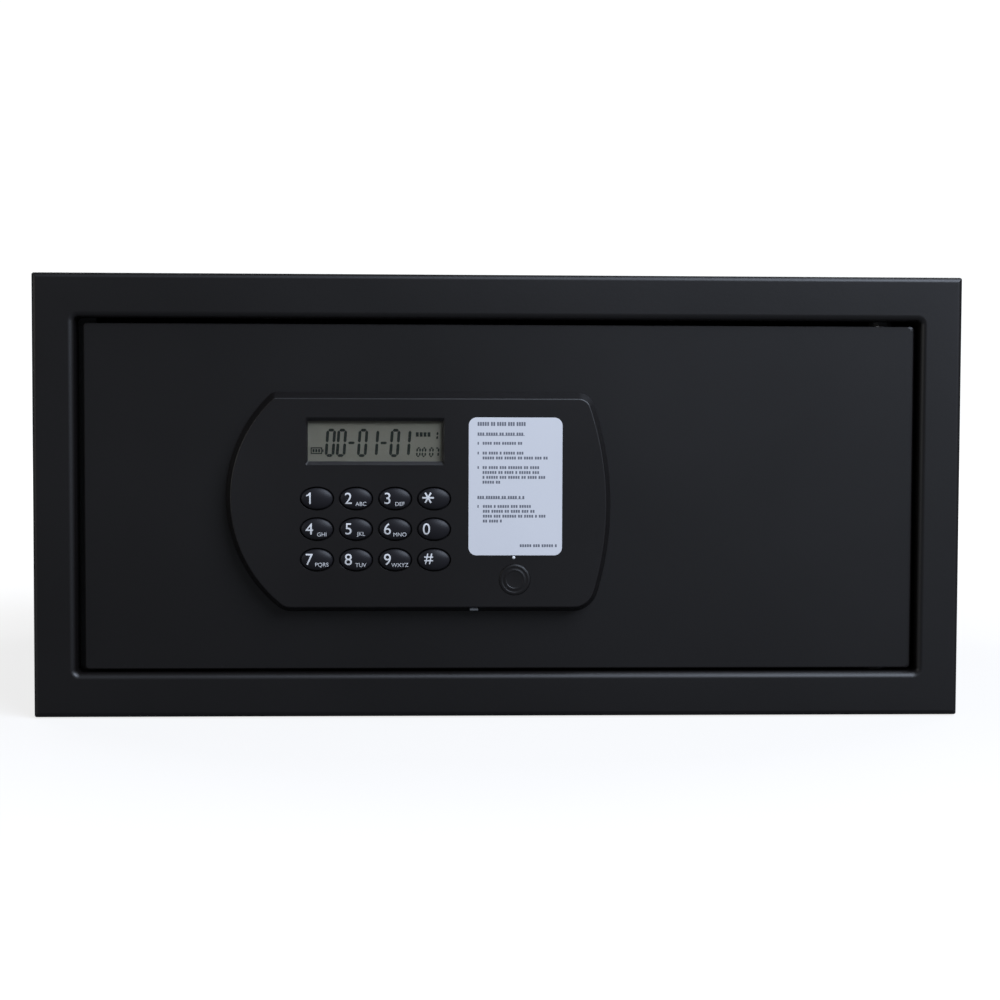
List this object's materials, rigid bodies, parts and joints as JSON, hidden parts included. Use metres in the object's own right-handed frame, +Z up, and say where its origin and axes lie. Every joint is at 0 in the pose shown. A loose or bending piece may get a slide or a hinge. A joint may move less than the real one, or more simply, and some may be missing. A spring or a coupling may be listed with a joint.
{
  "type": "in-room safe",
  "caption": "Low rectangular hotel-room safe with a recessed hinged door, sliding bolts, a keypad with display, an override lock and a carpeted cabin.",
  "frame": {"origin": "middle of the underside of the whole safe, on the shelf it stands on", "axes": "+X to the right seen from the front, -Y towards the front where the door and keypad are, +Z up"},
  "size_m": [0.42, 0.3764, 0.2],
  "materials": {
    "powder_coat": "fine-texture satin black powder coat",
    "panel_plastic": "fine-grain black moulding",
    "key_plastic": "satin gloss black with white print",
    "black_plastic": "plain black moulding",
    "bright_steel": "ground and polished",
    "zinc_steel": "zinc plated",
    "turned_brass": "turned",
    "black_rubber": "matt",
    "cable_jacket": "satin sleeve",
    "silicone": "matt",
    "carpet": "short needle-felt pile",
    "lens": "clear acrylic",
    "lcd": "reflective grey-green liquid crystal",
    "circuit_board": "solder mask",
    "label_film": "pale blue-white film",
    "white_plastic": "white moulding",
    "cell_wrap": "printed sleeve, plain",
    "reset_red": "red moulding"
  },
  "bodies": {
    "housing": {"front_frame": "powder_coat", "housing_wrapper": "powder_coat", "rear_panel": "powder_coat", "floor_mat": "carpet", "strike_bar": "powder_coat", "kick_spring": "bright_steel", "door_bumper_upper": "black_rubber", "door_bumper_lower": "black_rubber", "hinge_bracket_upper": "powder_coat", "hinge_bracket_lower": "powder_coat", "hinge_bush_upper": "black_plastic", "hinge_bush_lower": "black_plastic"},
    "door": {"door_plate": "powder_coat", "inner_cover": "powder_coat", "hinge_block_upper": "zinc_steel", "hinge_block_lower": "zinc_steel", "hinge_pin_upper": "bright_steel", "hinge_pin_lower": "bright_steel", "cover_screw_1": "zinc_steel", "cover_screw_2": "zinc_steel", "cover_screw_3": "zinc_steel", "cover_screw_4": "zinc_steel", "bolt_guide": "zinc_steel", "gear_motor": "zinc_steel", "lock_cylinder": "bright_steel", "keypad_housing": "panel_plastic", "keymat": "silicone", "control_board": "circuit_board", "lcd_window": "lens", "lcd_module": "lcd", "instruction_label": "label_film", "status_led": "white_plastic", "service_port": "zinc_steel", "battery_holder": "black_plastic", "battery_1": "cell_wrap", "battery_2": "cell_wrap", "battery_3": "cell_wrap", "battery_4": "cell_wrap", "wire_harness": "cable_jacket"},
    "boltwork": {"bolt_carrier": "zinc_steel", "bolt_upper": "bright_steel", "bolt_lower": "bright_steel"},
    "pinion": {"drive_pinion": "white_plastic"},
    "override": {"lock_plug": "turned_brass", "lock_cam": "zinc_steel"},
    "keyhole_cap": {"lock_cover": "panel_plastic"},
    "battery_lid": {"battery_cover": "black_plastic"},
    "reset": {"reset_button": "reset_red"},
    "button_1": {"key_1": "key_plastic"},
    "button_2": {"key_2": "key_plastic"},
    "button_3": {"key_3": "key_plastic"},
    "button_star": {"key_star": "key_plastic"},
    "button_4": {"key_4": "key_plastic"},
    "button_5": {"key_5": "key_plastic"},
    "button_6": {"key_6": "key_plastic"},
    "button_0": {"key_0": "key_plastic"},
    "button_7": {"key_7": "key_plastic"},
    "button_8": {"key_8": "key_plastic"},
    "button_9": {"key_9": "key_plastic"},
    "button_hash": {"key_hash": "key_plastic"}
  },
  "joints": [
    {"name": "door_hinge", "type": "hinge", "parent": "housing", "child": "door", "pos_m": [0.175, -0.1683, 0.1], "axis": [0, 0, 1], "range_deg": [0, 105]},
    {"name": "bolt_slide", "type": "slide", "parent": "door", "child": "boltwork", "axis": [-1, 0, 0], "range_m": [0, 0.016]},
    {"name": "pinion_spin", "type": "hinge", "parent": "door", "child": "pinion", "pos_m": [-0.08, -0.168, 0.1], "axis": [0, -1, 0], "range_deg": [0, 153]},
    {"name": "override_turn", "type": "hinge", "parent": "door", "child": "override", "pos_m": [0.0062, -0.175, 0.0628], "axis": [0, -1, 0], "range_deg": [0, 90]},
    {"name": "keyhole_cap_slide", "type": "slide", "parent": "door", "child": "keyhole_cap", "axis": [0, -1, 0], "range_m": [0, 0.02]},
    {"name": "battery_lid_slide", "type": "slide", "parent": "door", "child": "battery_lid", "axis": [0, 1, 0], "range_m": [0, 0.03]},
    {"name": "reset_press", "type": "slide", "parent": "door", "child": "reset", "axis": [0, -1, 0], "range_m": [0, 0.0015], "stiffness_N_per_m": 500},
    {"name": "key_1_press", "type": "slide", "parent": "door", "child": "button_1", "axis": [0, 1, 0], "range_m": [0, 0.001], "stiffness_N_per_m": 500},
    {"name": "key_2_press", "type": "slide", "parent": "door", "child": "button_2", "axis": [0, 1, 0], "range_m": [0, 0.001], "stiffness_N_per_m": 500},
    {"name": "key_3_press", "type": "slide", "parent": "door", "child": "button_3", "axis": [0, 1, 0], "range_m": [0, 0.001], "stiffness_N_per_m": 500},
    {"name": "key_star_press", "type": "slide", "parent": "door", "child": "button_star", "axis": [0, 1, 0], "range_m": [0, 0.001], "stiffness_N_per_m": 500},
    {"name": "key_4_press", "type": "slide", "parent": "door", "child": "button_4", "axis": [0, 1, 0], "range_m": [0, 0.001], "stiffness_N_per_m": 500},
    {"name": "key_5_press", "type": "slide", "parent": "door", "child": "button_5", "axis": [0, 1, 0], "range_m": [0, 0.001], "stiffness_N_per_m": 500},
    {"name": "key_6_press", "type": "slide", "parent": "door", "child": "button_6", "axis": [0, 1, 0], "range_m": [0, 0.001], "stiffness_N_per_m": 500},
    {"name": "key_0_press", "type": "slide", "parent": "door", "child": "button_0", "axis": [0, 1, 0], "range_m": [0, 0.001], "stiffness_N_per_m": 500},
    {"name": "key_7_press", "type": "slide", "parent": "door", "child": "button_7", "axis": [0, 1, 0], "range_m": [0, 0.001], "stiffness_N_per_m": 500},
    {"name": "key_8_press", "type": "slide", "parent": "door", "child": "button_8", "axis": [0, 1, 0], "range_m": [0, 0.001], "stiffness_N_per_m": 500},
    {"name": "key_9_press", "type": "slide", "parent": "door", "child": "button_9", "axis": [0, 1, 0], "range_m": [0, 0.001], "stiffness_N_per_m": 500},
    {"name": "key_hash_press", "type": "slide", "parent": "door", "child": "button_hash", "axis": [0, 1, 0], "range_m": [0, 0.001], "stiffness_N_per_m": 500}
  ],
  "couplings": [
    {"joint": "pinion_spin", "follows": "bolt_slide", "rad_per_m": 166.67}
  ]
}
